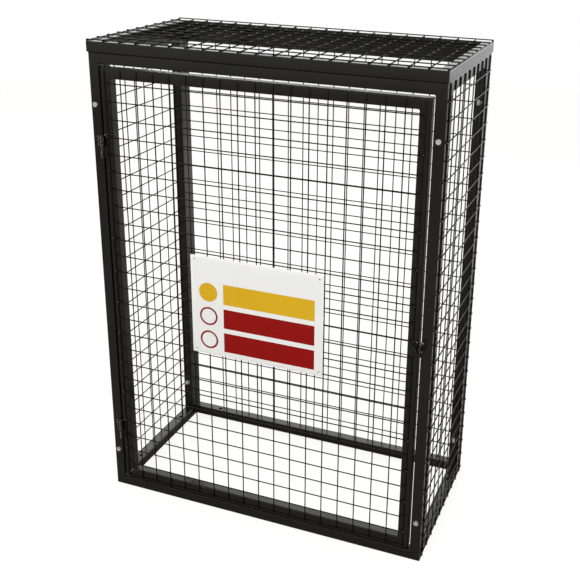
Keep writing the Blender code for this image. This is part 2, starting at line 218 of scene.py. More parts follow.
# The photograph: its width in pixels, focal length and optical centre in pixels, the view
# in degrees, the camera's place against the front frame, and the sensor in millimetres
PHOTO_PIXELS = 580
FOCAL_PIXELS = 935.232
VIEW_CENTRE = (327.464, 230.667)
VIEW_AZIMUTH = 20.756
VIEW_ELEVATION = 19.996
VIEW_ROLL = 1.052
CAMERA_PLACE = (1.0133, FRONT_Y - 2.1382, 1.7917)
SENSOR = 36.0

scatter = random.Random(11)


def add_node(tree, kind, **settings):
    """A new node with some of its settings."""
    node = tree.nodes.new(kind)
    for key, value in settings.items():
        setattr(node, key, value)
    return node


def shader_group(name, control, *results):
    """A node group from a vector and one number to numbers, and the nodes at its two ends."""
    group = bpy.data.node_groups.new(name, "ShaderNodeTree")
    group.interface.new_socket("Vector", in_out='INPUT', socket_type="NodeSocketVector")
    group.interface.new_socket(control, in_out='INPUT', socket_type="NodeSocketFloat")
    for label in results:
        group.interface.new_socket(label, in_out='OUTPUT', socket_type="NodeSocketFloat")
    return group, add_node(group, "NodeGroupInput"), add_node(group, "NodeGroupOutput")


def feed(tree, socket, value):
    """Set a socket to a number, or link another node's output to it."""
    if isinstance(value, (int, float)):
        socket.default_value = value
    else:
        tree.links.new(value, socket)


def noise(tree, vector, scale, detail=2.0, rough=0.5):
    """A noise texture. Its scale may be a number or an output."""
    node = add_node(tree, "ShaderNodeTexNoise")
    feed(tree, node.inputs["Scale"], scale)
    node.inputs["Detail"].default_value = detail
    node.inputs["Roughness"].default_value = rough
    tree.links.new(vector, node.inputs["Vector"])
    return node


def ramp(tree, value, low, high, out_low=0.0, out_high=1.0):
    """A value taken from one range to another, and held at its ends."""
    node = add_node(tree, "ShaderNodeMapRange")
    node.inputs["From Min"].default_value = low
    node.inputs["From Max"].default_value = high
    node.inputs["To Min"].default_value = out_low
    node.inputs["To Max"].default_value = out_high
    tree.links.new(value, node.inputs["Value"])
    return node.outputs["Result"]


def arithmetic(tree, operation, *terms):
    """A math operation on numbers and outputs."""
    node = add_node(tree, "ShaderNodeMath", operation=operation)
    for socket, value in zip(node.inputs, terms):
        feed(tree, socket, value)
    return node.outputs["Value"]


def split_axes(tree, vector):
    """The outputs X, Y and Z of a vector."""
    node = add_node(tree, "ShaderNodeSeparateXYZ")
    tree.links.new(vector, node.inputs[0])
    return node.outputs


def make_coat_skin():
    """Orange peel of sprayed powder: a fine height, a broad tone and an uneven gloss."""
    group, start, end = shader_group("coat_skin", "Peel", "Height", "Tone", "Haze")
    vector = start.outputs["Vector"]
    peel = noise(group, vector, start.outputs["Peel"], detail=1.5, rough=0.45)
    group.links.new(peel.outputs["Fac"], end.inputs["Height"])
    broad = noise(group, vector, scale=9.0, detail=4.0, rough=0.55)
    group.links.new(ramp(group, broad.outputs["Fac"], 0.3, 0.7), end.inputs["Tone"])
    cloud = noise(group, vector, scale=38.0, detail=3.0, rough=0.6)
    group.links.new(ramp(group, cloud.outputs["Fac"], 0.3, 0.75), end.inputs["Haze"])
    return group


def make_rub_marks():
    """Short pale rubs and scratches, sparse, running at all angles."""
    group, start, end = shader_group("rub_marks", "Amount", "Mask")
    vector = start.outputs["Vector"]
    bend = noise(group, vector, scale=22.0)
    mix = add_node(group, "ShaderNodeVectorMath", operation='MULTIPLY_ADD')
    group.links.new(bend.outputs["Color"], mix.inputs[0])
    mix.inputs[1].default_value = (0.03, 0.03, 0.03)
    group.links.new(vector, mix.inputs[2])
    lines = noise(group, mix.outputs["Vector"], scale=160.0, detail=1.0, rough=0.4)
    offset = arithmetic(group, 'SUBTRACT', lines.outputs["Fac"], 0.5)
    ridge = arithmetic(group, 'ABSOLUTE', offset)
    thin = ramp(group, ridge, 0.0, 0.006, 1.0, 0.0)
    patch = noise(group, vector, scale=7.0)
    where = ramp(group, patch.outputs["Fac"], 0.58, 0.72)
    sparse = arithmetic(group, 'MULTIPLY', thin, where)
    mask = arithmetic(group, 'MULTIPLY', sparse, start.outputs["Amount"])
    group.links.new(mask, end.inputs["Mask"])
    return group


def make_settled_dust():
    """A thin film on faces that look up, broken up by noise."""
    group, start, end = shader_group("settled_dust", "Amount", "Mask")
    geometry = add_node(group, "ShaderNodeNewGeometry")
    level = ramp(group, split_axes(group, geometry.outputs["Normal"])["Z"], 0.6, 1.0)
    speck = noise(group, start.outputs["Vector"], scale=60.0, detail=5.0, rough=0.65)
    broken = ramp(group, speck.outputs["Fac"], 0.35, 0.7)
    film = arithmetic(group, 'MULTIPLY', level, broken)
    mask = arithmetic(group, 'MULTIPLY', film, start.outputs["Amount"])
    group.links.new(mask, end.inputs["Mask"])
    return group


COAT_SKIN = make_coat_skin()
RUB_MARKS = make_rub_marks()
SETTLED_DUST = make_settled_dust()


def start_material(name):
    """A new material, its node tree and main shader, and the object's own coordinates."""
    material = bpy.data.materials.new(name)
    material.use_nodes = True
    tree = material.node_tree
    shader = tree.nodes["Principled BSDF"]
    place = add_node(tree, "ShaderNodeTexCoord")
    return material, tree, shader, place.outputs["Object"]


def use_group(tree, group, vector, **values):
    """A shader group at work in a material."""
    node = add_node(tree, "ShaderNodeGroup")
    node.node_tree = group
    tree.links.new(vector, node.inputs["Vector"])
    for key, value in values.items():
        node.inputs[key].default_value = value
    return node


def blend_colours(tree, factor, first, second):
    """A mix of two colours, each a plain one or an output."""
    node = add_node(tree, "ShaderNodeMix", data_type='RGBA')
    sockets = [socket for socket in node.inputs if socket.type == 'RGBA']
    for socket, colour in zip(sockets, (first, second)):
        if isinstance(colour, tuple):
            socket.default_value = (*colour, 1.0)
        else:
            tree.links.new(colour, socket)
    tree.links.new(factor, node.inputs["Factor"])
    return next(socket for socket in node.outputs if socket.type == 'RGBA')


def add_bump(tree, shader, height, strength, distance):
    """Raise a shader's surface by a height."""
    bump = add_node(tree, "ShaderNodeBump")
    bump.inputs["Strength"].default_value = strength
    bump.inputs["Distance"].default_value = distance
    tree.links.new(height, bump.inputs["Height"])
    tree.links.new(bump.outputs["Normal"], shader.inputs["Normal"])


def powder_coat(name, dark, light, gloss, shine, peel, rubs, dust):
    """Sprayed and baked powder: dark and light are its tones, gloss the (low, high) roughness."""
    material, tree, shader, vector = start_material(name)
    skin = use_group(tree, COAT_SKIN, vector, Peel=peel)
    marks = use_group(tree, RUB_MARKS, vector, Amount=rubs)
    film = use_group(tree, SETTLED_DUST, vector, Amount=dust)
    tone = blend_colours(tree, skin.outputs["Tone"], dark, light)
    rubbed = blend_colours(tree, marks.outputs["Mask"], tone, (0.06, 0.058, 0.055))
    dusted = blend_colours(tree, film.outputs["Mask"], rubbed, (0.075, 0.070, 0.062))
    tree.links.new(dusted, shader.inputs["Base Color"])
    rough = ramp(tree, skin.outputs["Haze"], 0.0, 1.0, gloss[0], gloss[1])
    rougher = arithmetic(tree, 'MULTIPLY_ADD', film.outputs["Mask"], 0.5, rough)
    tree.links.new(rougher, shader.inputs["Roughness"])
    shader.inputs["Specular IOR Level"].default_value = shine
    add_bump(tree, shader, skin.outputs["Height"], strength=0.12, distance=0.0003)
    return material


def bright_metal(name, dark, light, burnt, gloss, metallic):
    """Zinc plating or bare weld metal: cloudy bands, and burnt specks where heat left them."""
    material, tree, shader, vector = start_material(name)
    skin = use_group(tree, COAT_SKIN, vector, Peel=1500.0)
    fine = noise(tree, vector, scale=420.0, detail=3.0, rough=0.6)
    cloud = ramp(tree, fine.outputs["Fac"], 0.3, 0.7)
    colour = blend_colours(tree, cloud, dark, light)
    specks = noise(tree, vector, scale=900.0, rough=0.6)
    hot = ramp(tree, specks.outputs["Fac"], 0.5, 0.6)
    heat = arithmetic(tree, 'MULTIPLY', hot, burnt)
    tinted = blend_colours(tree, heat, colour, (0.10, 0.075, 0.055))
    tree.links.new(tinted, shader.inputs["Base Color"])
    tree.links.new(ramp(tree, cloud, 0.0, 1.0, gloss[0], gloss[1]), shader.inputs["Roughness"])
    shader.inputs["Metallic"].default_value = metallic
    add_bump(tree, shader, skin.outputs["Height"], strength=0.2, distance=0.0001)
    return material


def sign_paint(name, colour, shade):
    """Printed enamel on sheet: nearly even, with a slight mottle and a soft gloss."""
    material, tree, shader, vector = start_material(name)
    skin = use_group(tree, COAT_SKIN, vector, Peel=900.0)
    marks = use_group(tree, RUB_MARKS, vector, Amount=0.35)
    tone = blend_colours(tree, skin.outputs["Tone"], shade, colour)
    rubbed = blend_colours(tree, marks.outputs["Mask"], tone, (0.55, 0.54, 0.52))
    tree.links.new(rubbed, shader.inputs["Base Color"])
    rough = ramp(tree, skin.outputs["Haze"], 0.0, 1.0, 0.32, 0.42)
    tree.links.new(rough, shader.inputs["Roughness"])
    shader.inputs["Specular IOR Level"].default_value = 0.2
    add_bump(tree, shader, skin.outputs["Height"], strength=0.12, distance=0.0001)
    return material


TUBE_BLACK = powder_coat(
    "tube_powder_coat", dark=(0.0045, 0.0042, 0.0036), light=(0.0070, 0.0066, 0.0058),
    gloss=(0.13, 0.21), shine=0.5, peel=650.0, rubs=0.5, dust=0.30)
WIRE_BLACK = powder_coat(
    "wire_powder_coat", dark=(0.0040, 0.0037, 0.0032), light=(0.0065, 0.0060, 0.0052),
    gloss=(0.27, 0.37), shine=0.14, peel=1100.0, rubs=0.2, dust=0.2)
WELD_BLACK = powder_coat(
    "weld_powder_coat", dark=(0.0045, 0.0042, 0.0038), light=(0.0075, 0.0070, 0.0064),
    gloss=(0.12, 0.22), shine=0.45, peel=1400.0, rubs=0.2, dust=0.1)
ZINC = bright_metal(
    "bolt_zinc", dark=(0.62, 0.63, 0.64), light=(0.84, 0.84, 0.82),
    burnt=0.0, gloss=(0.24, 0.42), metallic=0.7)
PIN_STEEL = bright_metal(
    "hinge_pin_steel", dark=(0.05, 0.05, 0.05), light=(0.12, 0.12, 0.12),
    burnt=0.4, gloss=(0.3, 0.45), metallic=0.7)
BARE_WELD = bright_metal(
    "bare_weld_steel", dark=(0.30, 0.29, 0.27), light=(0.52, 0.50, 0.46),
    burnt=0.35, gloss=(0.26, 0.40), metallic=0.8)
SIGN_WHITE = sign_paint("sign_white_enamel", (0.875, 0.875, 0.85), (0.845, 0.845, 0.82))
SIGN_YELLOW = sign_paint("sign_yellow_field", (0.72, 0.425, 0.017), (0.69, 0.405, 0.015))
SIGN_RED = sign_paint("sign_red_field", (0.290, 0.0050, 0.0035), (0.270, 0.0042, 0.0030))


def as_mesh(name, bm):
    """A bmesh as a mesh. The bmesh is freed."""
    mesh = bpy.data.meshes.new(name)
    bm.to_mesh(mesh)
    bm.free()
    return mesh


def add_object(name, data):
    """A new object in the scene, at the origin."""
    thing = bpy.data.objects.new(name, data)
    bpy.context.scene.collection.objects.link(thing)
    return thing


def keep_piece(name, bm, material, body, smooth_angle, nodes=(), weighted=False):
    """Store a bmesh as a finished piece that rides on a body and stands for CAD nodes.

    Edges that turn by more than smooth_angle, in degrees, stay sharp.
    """
    mesh = as_mesh(name, bm)
    mesh.materials.append(material)
    piece = add_object(name, mesh)
    mesh.shade_smooth()
    mesh.set_sharp_from_angle(angle=math.radians(smooth_angle))
    if weighted:
        even = piece.modifiers.new("even_shading", 'WEIGHTED_NORMAL')
        even.keep_sharp = True
    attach(piece, body)
    if nodes:
        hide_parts(*nodes)


def turned(right, up):
    """A rotation whose X and Z columns are the given directions."""
    x_axis = Vector(right)
    z_axis = Vector(up)
    return Matrix((x_axis, z_axis.cross(x_axis), z_axis)).transposed().to_4x4()


def aimed(direction):
    """A rotation that takes Z to a direction."""
    return Vector(direction).to_track_quat('Z', 'Y').to_matrix().to_4x4()


def facing(place, direction):
    """A placement at a point, with its Z along a direction."""
    return Matrix.Translation(Vector(place)) @ aimed(direction)


def long_edges(bm, axis):
    """The edges that run along an axis: 0 for X, 1 for Y, 2 for Z."""
    found = []
    for edge in bm.edges:
        run = (edge.verts[1].co - edge.verts[0].co).normalized()
        if abs(run[axis]) > 0.999:
            found.append(edge)
    return found


def round_edges(bm, edges, radius, steps):
    """Bevel edges to a rounded profile."""
    bmesh.ops.bevel(
        bm, geom=edges, offset=radius, segments=steps, profile=0.5, affect='EDGES', material=-1)


def block(low, high, radius=0.0):
    """A box between two corners, with all its edges rounded where a radius is given."""
    low = Vector(low)
    high = Vector(high)
    bm = bmesh.new()
    place = Matrix.Translation((low + high) / 2) @ Matrix.Diagonal((*(high - low), 1.0))
    bmesh.ops.create_cube(bm, size=1.0, matrix=place)
    if radius:
        round_edges(bm, bm.edges[:], radius, 2)
    return bm


def take_in(bm, other, place=None):
    """Add another bmesh to this one and free it."""
    mesh = as_mesh("taken_in", other)
    if place is not None:
        mesh.transform(place)
    bm.from_mesh(mesh)
    bpy.data.meshes.remove(mesh)


def add_mesh(bm, mesh, place):
    """Add a copy of a mesh, moved to its place, to a bmesh."""
    copy = mesh.copy()
    copy.transform(place)
    bm.from_mesh(copy)
    bpy.data.meshes.remove(copy)


def add_cylinder(bm, diameter, length, sides, place):
    """Add a capped cylinder along Z, centred on the origin of its place, to a bmesh."""
    bmesh.ops.create_cone(
        bm, cap_ends=True, cap_tris=False, segments=sides, radius1=diameter / 2,
        radius2=diameter / 2, depth=length, matrix=place)


def weld_blank(sides, rings):
    """A ball of unit radius that each weld of a kind is a squashed copy of."""
    bm = bmesh.new()
    bmesh.ops.create_uvsphere(bm, u_segments=sides, v_segments=rings, radius=1.0)
    return as_mesh("weld_blank", bm)


SPOT_BLANK = weld_blank(6, 4)
TACK_BLANK = weld_blank(8, 6)


def weld_lump(bm, blank, centre, radii, turn):
    """Add a squashed copy of a weld blank, its radii along the turned X, Y and Z."""
    place = Matrix.Translation(Vector(centre)) @ turn @ Matrix.Diagonal((*radii, 1.0))
    add_mesh(bm, blank, place)


def weld_bead(bm, start, end, radius, step=WELD_STEP):
    """A run of overlapping weld ripples between two points."""
    start = Vector(start)
    end = Vector(end)
    length = (end - start).length
    count = max(2, round(length / step))
    turn = aimed(end - start)
    for index in range(count):
        share = (index + 0.5) / count
        swell = radius * scatter.uniform(0.88, 1.1)
        radii = (swell, swell, step * WELD_OVERLAP)
        weld_lump(bm, TACK_BLANK, start.lerp(end, share), radii, turn)


def carved(bm, cutter, operation):
    """This bmesh after a Boolean with another one. Both are freed."""
    pair = [add_object("carved_shape", as_mesh("carved_shape", bm)),
            add_object("carving_shape", as_mesh("carving_shape", cutter))]
    cut = pair[0].modifiers.new("carving", 'BOOLEAN')
    cut.operation = operation
    cut.solver = 'EXACT'
    cut.object = pair[1]
    graph = bpy.context.evaluated_depsgraph_get()
    finished = bmesh.new()
    finished.from_mesh(pair[0].evaluated_get(graph).data)
    for shape in pair:
        bpy.data.objects.remove(shape)
    return finished


def mitred_tube(length, holes=()):
    """A hollow square tube along X, with mitred ends and its longest side on +Z.

    holes are the places along it of round holes through both its +Z and -Z walls.
    """
    half = length / 2
    bm = block((-half, -TUBE / 2, -TUBE / 2), (half, TUBE / 2, TUBE / 2))
    bm.normal_update()
    ends = [face for face in bm.faces if abs(face.normal.x) > 0.5]
    bmesh.ops.delete(bm, geom=ends, context='FACES_ONLY')
    round_edges(bm, long_edges(bm, 0), TUBE_CORNER, TUBE_CORNER_STEPS)
    bmesh.ops.recalc_face_normals(bm, faces=bm.faces)
    bmesh.ops.solidify(bm, geom=bm.faces[:], thickness=TUBE_WALL)
    if holes:
        cutter = bmesh.new()
        for along in holes:
            place = Matrix.Translation((along, 0, 0))
            add_cylinder(cutter, FLOOR_HOLE, 2 * TUBE, sides=28, place=place)
        bm = carved(bm, cutter, 'DIFFERENCE')
    # Shear the square ends to 45 degrees, so that each meets its neighbour's
    for vertex in bm.verts:
        if abs(vertex.co.x) > half - 0.0001:
            cut_back = TUBE / 2 - vertex.co.z
            vertex.co.x += -cut_back if vertex.co.x > 0 else cut_back
    return bm


def tube_frame(name, body, places, nodes, floor_holes=()):
    """Four tubes welded round a panel, with weld runs inside its corners.

    places is (centre, across, rise, width, height). floor_holes are the places of the
    holes along the bottom tube, from its middle.
    """
    centre, across, rise, width, height = places
    centre = Vector(centre)
    across = Vector(across)
    rise = Vector(rise)
    through = across.cross(rise)
    bm = bmesh.new()
    rows = ((across, rise, width, height, ()), (-across, -rise, width, height, floor_holes),
            (-rise, across, height, width, ()), (rise, -across, height, width, ()))
    for run, outward, length, reach, holes in rows:
        place = Matrix.Translation(centre + outward * (reach - TUBE) / 2) @ turned(run, outward)
        take_in(bm, mitred_tube(length, holes), place)
    keep_piece(name, bm, TUBE_BLACK, body, 40, nodes, weighted=True)

    beads = bmesh.new()
    inset = TUBE + CORNER_WELD_INSET
    half_run = through * (TUBE / 2 - TUBE_CORNER)
    for side in (-1, 1):
        for level in (-1, 1):
            sideways = across * side * (width / 2 - inset)
            upward = rise * level * (height / 2 - inset)
            corner = centre + sideways + upward
            weld_bead(beads, corner - half_run, corner + half_run, CORNER_WELD_RADIUS,
                      CORNER_WELD_STEP)
    keep_piece(name + "_corner_welds", beads, WELD_BLACK, body, 60)


def round_wire(length):
    """A straight round wire along Z, its sheared ends slightly broken, as a mesh."""
    bm = bmesh.new()
    add_cylinder(bm, WIRE, length, WIRE_SIDES, Matrix())
    rims = [edge for face in bm.faces if len(face.verts) > 4 for edge in face.edges]
    round_edges(bm, rims, WIRE_END_BREAK, 1)
    return as_mesh("round_wire", bm)


def spaced(count, first):
    """Places one mesh pitch apart."""
    return [first + index * PITCH for index in range(count)]


def wire_sheet(name, body, places, ups, crosses, nodes):
    """A sheet of welded mesh with its weld spots, and the tacks that hold it to the frame.

    places is (origin, across, rise, outward, span_a, span_r), as the plane it lies on and
    its outline there. ups lie against the frame and crosses lie on them.
    """
    origin, across, rise, outward, span_a, span_r = places
    origin = Vector(origin)
    across = Vector(across)
    rise = Vector(rise)
    outward = Vector(outward)

    def at(a, r, depth):
        return origin + across * a + rise * r + outward * depth

    wires = bmesh.new()
    middle_a = (span_a[0] + span_a[1]) / 2
    middle_r = (span_r[0] + span_r[1]) / 2
    upright = round_wire(span_r[1] - span_r[0])
    for a in ups:
        add_mesh(wires, upright, facing(at(a, middle_r, INNER_WIRE), rise))
    level = round_wire(span_a[1] - span_a[0])
    for r in crosses:
        add_mesh(wires, level, facing(at(middle_a, r, OUTER_WIRE), across))
    keep_piece(name + "_wires", wires, WIRE_BLACK, body, 50, nodes)

    spots = bmesh.new()
    turn = turned(across, outward)
    middle = (INNER_WIRE + OUTER_WIRE) / 2
    for a in ups:
        for r in crosses:
            swell = scatter.uniform(*SPOT_RADII)
            radii = (swell, swell, SPOT_HALF_THICK)
            weld_lump(spots, SPOT_BLANK, at(a, r, middle), radii, turn)
    for a in ups[::2]:
        for r in (span_r[0] + TACK_INSET, span_r[1] - TACK_INSET):
            weld_lump(spots, TACK_BLANK, at(a, r, INNER_TACK_DEPTH), INNER_TACK, turn)
    for r in crosses[::2]:
        for a in (span_a[0] + TACK_INSET, span_a[1] - TACK_INSET):
            weld_lump(spots, TACK_BLANK, at(a, r, OUTER_TACK_DEPTH), OUTER_TACK, turn)
    keep_piece(name + "_weld_spots", spots, WELD_BLACK, body, 70)

    # Every second end of the level wires is bare, in turn on the left and the right, and
    # the lower end of every second rising wire
    bare = bmesh.new()
    for index, r in enumerate(crosses):
        for a in (span_a[0] + LEVEL_BARE_INSET, span_a[1] - LEVEL_BARE_INSET):
            if (index + (a > 0)) % 2 == 0:
                size = scatter.uniform(*LEVEL_BARE_RADII)
                place = at(a, r + scatter.uniform(-0.001, 0.002), LEVEL_BARE_DEPTH)
                weld_lump(bare, TACK_BLANK, place, (size, size, size * BARE_FLATNESS), turn)
    low_end = span_r[0] + RISING_BARE_INSET
    for a in ups[::2]:
        size = scatter.uniform(*RISING_BARE_RADII)
        place = at(a + scatter.uniform(-0.001, 0.001), low_end, RISING_BARE_DEPTH)
        weld_lump(bare, TACK_BLANK, place, (size, size, size * BARE_FLATNESS), turn)
    keep_piece(name + "_bare_weld", bare, BARE_WELD, body, 60)


def turned_shape(profile, steps, closed=False):
    """A shape turned round Z from a profile of (radius, height) points."""
    bm = bmesh.new()
    verts = [bm.verts.new((radius, 0, height)) for radius, height in profile]
    following = verts[1:] + verts[:1] if closed else verts[1:]
    edges = [bm.edges.new(pair) for pair in zip(verts, following)]
    bmesh.ops.spin(
        bm, geom=verts + edges, cent=(0, 0, 0), axis=(0, 0, 1), angle=2 * math.pi,
        steps=steps, use_merge=True)
    bmesh.ops.remove_doubles(bm, verts=bm.verts, dist=1e-6)
    bmesh.ops.recalc_face_normals(bm, faces=bm.faces)
    return bm


def hex_solid(across_flats, height, chamfer_both):
    """A hexagonal head or nut standing on z = 0, its corners turned off by a chamfer."""
    circle = across_flats / math.sqrt(3)
    bm = bmesh.new()
    add_cylinder(bm, 2 * circle, height, sides=6, place=Matrix.Translation((0, 0, height / 2)))
    # A 30 degree cone from a circle just inside the flats to one just past the corners
    wide = circle * 1.05
    flat = across_flats * 0.475
    drop = (wide - flat) * math.tan(math.radians(30))
    profile = [(0.0, height), (flat, height), (wide, height - drop)]
    if chamfer_both:
        profile += [(wide, drop), (flat, 0.0), (0.0, 0.0)]
    else:
        profile += [(wide, -0.001), (0.0, -0.001)]
    finished = carved(bm, turned_shape(profile, 36), 'INTERSECT')
    if not chamfer_both:
        # The shallow dish forged into the top of a head
        dish = [(0.0, height - 0.0011), (0.0024, height - 0.0009), (0.0044, height + 0.0001),
                (0.0044, height + 0.001), (0.0, height + 0.001)]
        finished = carved(finished, turned_shape(dish, 24), 'DIFFERENCE')
    return as_mesh("hex_solid", finished)


def threaded_end(reach):
    """The end of a bolt: ridges turned round its axis, from z = 0 up."""
    crest = BOLT / 2
    chamfer = 0.0008
    rows = [(0.0, reach), (crest - chamfer, reach)]
    z = reach - chamfer
    while z > 0.001:
        rows += [(crest, z), (crest - THREAD_DEPTH, z - THREAD_DEPTH)]
        z -= THREAD_PITCH
    rows += [(crest - 0.0001, 0.0), (0.0, 0.0)]
    return turned_shape(rows, 20)


def ring_washer(outer, inner, thick):
    """A flat washer standing on z = 0."""
    rows = [(inner, 0.0), (outer, 0.0), (outer, thick - 0.0003), (outer - 0.0004, thick),
            (inner, thick)]
    return turned_shape(rows, 32, closed=True)


def fit_bolts():
    """Hexagon bolts through the front and back posts, each with its washer and nut inside."""
    head = hex_solid(BOLT_FLATS, BOLT_HEAD_HEIGHT, chamfer_both=False)
    nut = hex_solid(BOLT_FLATS, NUT_HEIGHT, chamfer_both=True)
    sixth = math.pi / 3
    bm = bmesh.new()
    for side in (-1, 1):
        rows = [(FRONT_Y, (0, -1, 0), z) for z in FRONT_BOLT_HEIGHTS]
        rows += [(BACK_Y, (0, 1, 0), z) for z in BACK_BOLT_HEIGHTS]
        for y, outward, z in rows:
            outward = Vector(outward)
            face = Vector((side * BOLT_X, y, z))
            turn = Matrix.Rotation(scatter.uniform(0, sixth), 4, 'Z')
            add_mesh(bm, head, facing(face, outward) @ turn)
            place = facing(face - outward * (2 * TUBE + WASHER_GAP), -outward)
            take_in(bm, ring_washer(WASHER, WASHER_BORE, WASHER_THICK), place)
            turn = Matrix.Rotation(scatter.uniform(0, sixth), 4, 'Z')
            add_mesh(bm, nut, place @ Matrix.Translation((0, 0, WASHER_THICK)) @ turn)
            end = place @ Matrix.Translation((0, 0, WASHER_THICK + NUT_HEIGHT))
            take_in(bm, threaded_end(BOLT_REACH), end)
    keep_piece("post_bolts", bm, ZINC, "cage", 32)


def refined_copy(node, edge_radius):
    """A CAD node's shape with its triangles joined into faces and its edges broken."""
    bm = bmesh.new()
    bm.from_mesh(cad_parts[node].data)
    bmesh.ops.remove_doubles(bm, verts=bm.verts, dist=1e-5)
    bmesh.ops.dissolve_limit(
        bm, angle_limit=math.radians(2), verts=bm.verts, edges=bm.edges)
    bmesh.ops.recalc_face_normals(bm, faces=bm.faces)
    sharp = [edge for edge in bm.edges if len(edge.link_faces) == 2
             and edge.calc_face_angle() > math.radians(60)]
    round_edges(bm, sharp, edge_radius, 2)
    return bm


def turned_barrel(low, high, radius, bore, break_edge):
    """A tube on end, from low to high, with broken rims, round the Z axis at the origin."""
    rows = [(bore, low + break_edge), (bore + break_edge, low), (radius - break_edge, low),
            (radius, low + break_edge), (radius, high - break_edge),
            (radius - break_edge, high), (bore + break_edge, high), (bore, high - break_edge)]
    return turned_shape(rows, 32, closed=True)


def stray_beads(name, body, places, size):
    """Small weld drops that the coat has left bare, scattered about the given places."""
    bm = bmesh.new()
    for place in places:
        radius = size * scatter.uniform(0.7, 1.15)
        shift = Vector([scatter.uniform(-0.3, 0.3) * size for _ in range(3)])
        radii = (radius, radius * scatter.uniform(0.9, 1.5), radius * scatter.uniform(0.9, 1.6))
        weld_lump(bm, TACK_BLANK, Vector(place) + shift, radii, Matrix())
    keep_piece(name, bm, BARE_WELD, body, 60)


def headed_pin(low, high):
    """A pin on end round the Z axis, from low to high, with a head at both ends."""
    top = [(0.0, high), (PIN_HEAD_TOP, high), (PIN_HEAD, high - PIN_HEAD_RIM),
           (PIN_HEAD, high - PIN_HEAD_THICK), (PIN_RADIUS, high - PIN_HEAD_THICK)]
    foot = [(PIN_RADIUS, low + PIN_HEAD_THICK), (PIN_HEAD, low + PIN_HEAD_THICK),
            (PIN_HEAD, low + PIN_HEAD_RIM), (PIN_HEAD_TOP, low), (0.0, low)]
    return turned_shape(top + foot, 28)


def barrel_flecks(axis, low, high):
    """Random places round the front of a hinge barrel, from its foot to its top."""
    places = []
    for index in range(FLECKS):
        turn = math.radians(scatter.uniform(*FLECK_TURNS))
        height = low + (index + scatter.uniform(0.1, 0.9)) / FLECKS * (high - low)
        places.append((axis.x + FLECK_RADIUS * math.sin(turn),
                       axis.y - FLECK_RADIUS * math.cos(turn), height))
    return places


def fit_hinge(level):
    """One hinge: a half welded to the frame, a half welded to the door, and its pin."""
    pin_low, pin_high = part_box(level + "_hinge_pin")
    axis = (pin_low + pin_high) / 2
    back = FRONT_Y - LEAF_STANDOFF
    for half, body, side in (("frame", "cage", -1), ("door", "door", 1)):
        label = level + "_hinge_" + half
        node = label + "_half"
        low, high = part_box(node)
        bm = turned_barrel(low.z, high.z, HINGE_BARREL, HINGE_BORE, HINGE_RIM_BREAK)
        bmesh.ops.translate(bm, verts=bm.verts, vec=(axis.x, axis.y, 0))
        far = low.x if side < 0 else high.x
        leaf_low = (min(axis.x, far), back - LEAF_THICK, low.z)
        leaf_high = (max(axis.x, far), back, high.z)
        take_in(bm, block(leaf_low, leaf_high, LEAF_EDGE))
        keep_piece(label + "_knuckle", bm, TUBE_BLACK, body, 40, (node,))

        welds = bmesh.new()
        near = axis.x + side * (HINGE_BARREL + 0.0002)
        foot, top = low.z + LONG_WELD_INSET, high.z - LONG_WELD_INSET
        for x, (radius, depth) in ((far, FAR_WELD), (near, BARREL_WELD)):
            weld_bead(welds, (x, back - depth, foot), (x, back - depth, top), radius)
        radius, depth = END_WELD
        for z in (low.z + END_WELD_INSET, high.z - END_WELD_INSET):
            weld_bead(welds, (near, back - depth, z), (far, back - depth, z), radius)
        keep_piece(label + "_weld", welds, WELD_BLACK, body, 60)

        # Bare beads down the barrel's front, and by the frame half's far edge too
        heights = [low.z + part * (high.z - low.z) for part in HINGE_BEADS]
        places = [(axis.x - 0.0004, axis.y - 0.0058, z) for z in heights]
        if side < 0:
            places += [(far + 0.0008, back - 0.0026, z) for z in heights]
        else:
            places += [(axis.x + right, FRONT_Y - front, pin_high.z + up)
                       for right, front, up in STILE_BEADS]
        stray_beads(label + "_bare_weld", body, places, HINGE_BEAD_SIZE)
        if level == "upper":
            flecks = barrel_flecks(axis, low.z, high.z)
            stray_beads(label + "_weld_flecks", body, flecks, FLECK_SIZE)

    bm = headed_pin(pin_low.z, pin_high.z)
    bmesh.ops.translate(bm, verts=bm.verts, vec=(axis.x, axis.y, 0))
    keep_piece(level + "_hinge_headed_pin", bm, PIN_STEEL, "cage", 40,
               (level + "_hinge_pin",))


